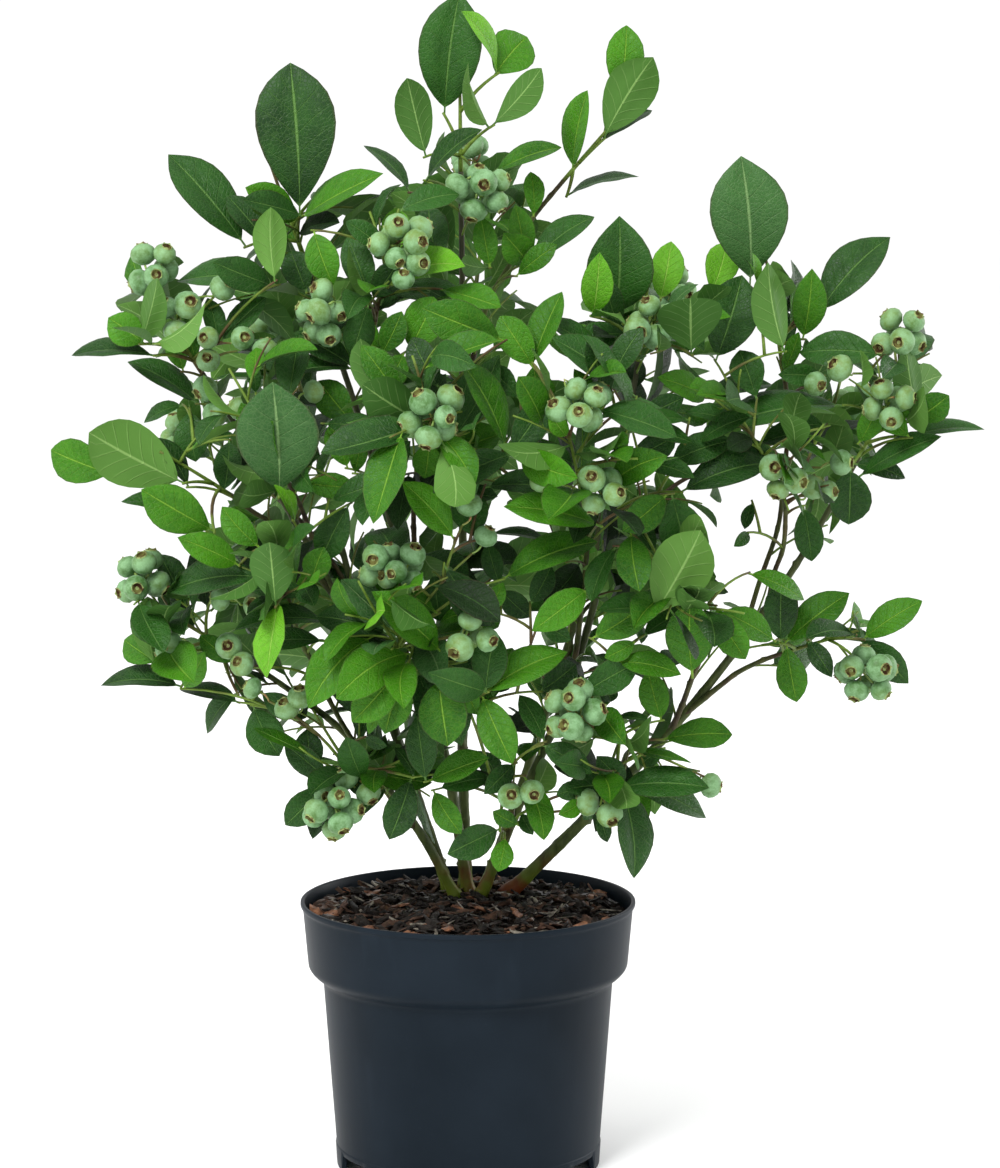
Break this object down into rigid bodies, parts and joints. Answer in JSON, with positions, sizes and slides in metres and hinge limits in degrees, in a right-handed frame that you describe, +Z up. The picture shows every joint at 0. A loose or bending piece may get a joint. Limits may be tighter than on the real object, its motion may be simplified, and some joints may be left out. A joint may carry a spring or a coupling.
{
  "type": "blueberry bush in a pot",
  "caption": "Leafy highbush blueberry in green fruit: canes rise from one clump in a round plastic nursery pot, which stands on its own flat feet.",
  "frame": {"origin": "middle of the flat underside of the pot, on its centre foot", "axes": "+Z up the plant, -Y towards the plant's front, +X to the right as seen from the front"},
  "size_m": [0.5462, 0.4185, 0.6953],
  "materials": {
    "pot": "matte moulded plastic, faintly scuffed",
    "substrate": "moist bark chips",
    "cane": "smooth olive bark",
    "bough": "thin brown bark",
    "foliage": "satin leaves"
  },
  "bodies": {
    "root": {"bough_back_centre": "bough", "bough_back_left_low": "bough", "bough_back_left_side": "bough", "bough_back_right_low": "bough", "bough_back_right_side": "bough", "bough_back_top": "bough", "bough_centre_front": "bough", "bough_centre_low": "bough", "bough_centre_upper": "bough", "bough_left_front": "bough", "bough_left_inner": "bough", "bough_left_mid": "bough", "bough_low_centre": "bough", "bough_low_left": "bough", "bough_right_front": "bough", "bough_right_inner": "bough", "bough_right_low_arm": "bough", "bough_right_low_front": "bough", "bough_right_mid": "bough", "bough_right_peak": "bough", "bough_top_right": "bough", "cane_back_left_high": "cane", "cane_back_right_high": "cane", "cane_left_arm": "cane", "cane_left_peak": "cane", "cane_left_upper": "cane", "cane_right_arm": "cane", "cane_right_upper": "cane", "cane_top": "cane", "pot": "pot", "spray_back_centre": "foliage", "spray_back_left_high": "foliage", "spray_back_left_low": "foliage", "spray_back_left_side": "foliage", "spray_back_right_high": "foliage", "spray_back_right_low": "foliage", "spray_back_right_side": "foliage", "spray_back_top": "foliage", "spray_centre_front": "foliage", "spray_centre_low": "foliage", "spray_centre_upper": "foliage", "spray_left_arm": "foliage", "spray_left_front": "foliage", "spray_left_inner": "foliage", "spray_left_mid": "foliage", "spray_left_peak": "foliage", "spray_left_upper": "foliage", "spray_low_centre": "foliage", "spray_low_left": "foliage", "spray_right_arm": "foliage", "spray_right_front": "foliage", "spray_right_inner": "foliage", "spray_right_low_arm": "foliage", "spray_right_low_front": "foliage", "spray_right_mid": "foliage", "spray_right_peak": "foliage", "spray_right_upper": "foliage", "spray_top": "foliage", "spray_top_right": "foliage", "substrate": "substrate"}
  },
  "joints": []
}
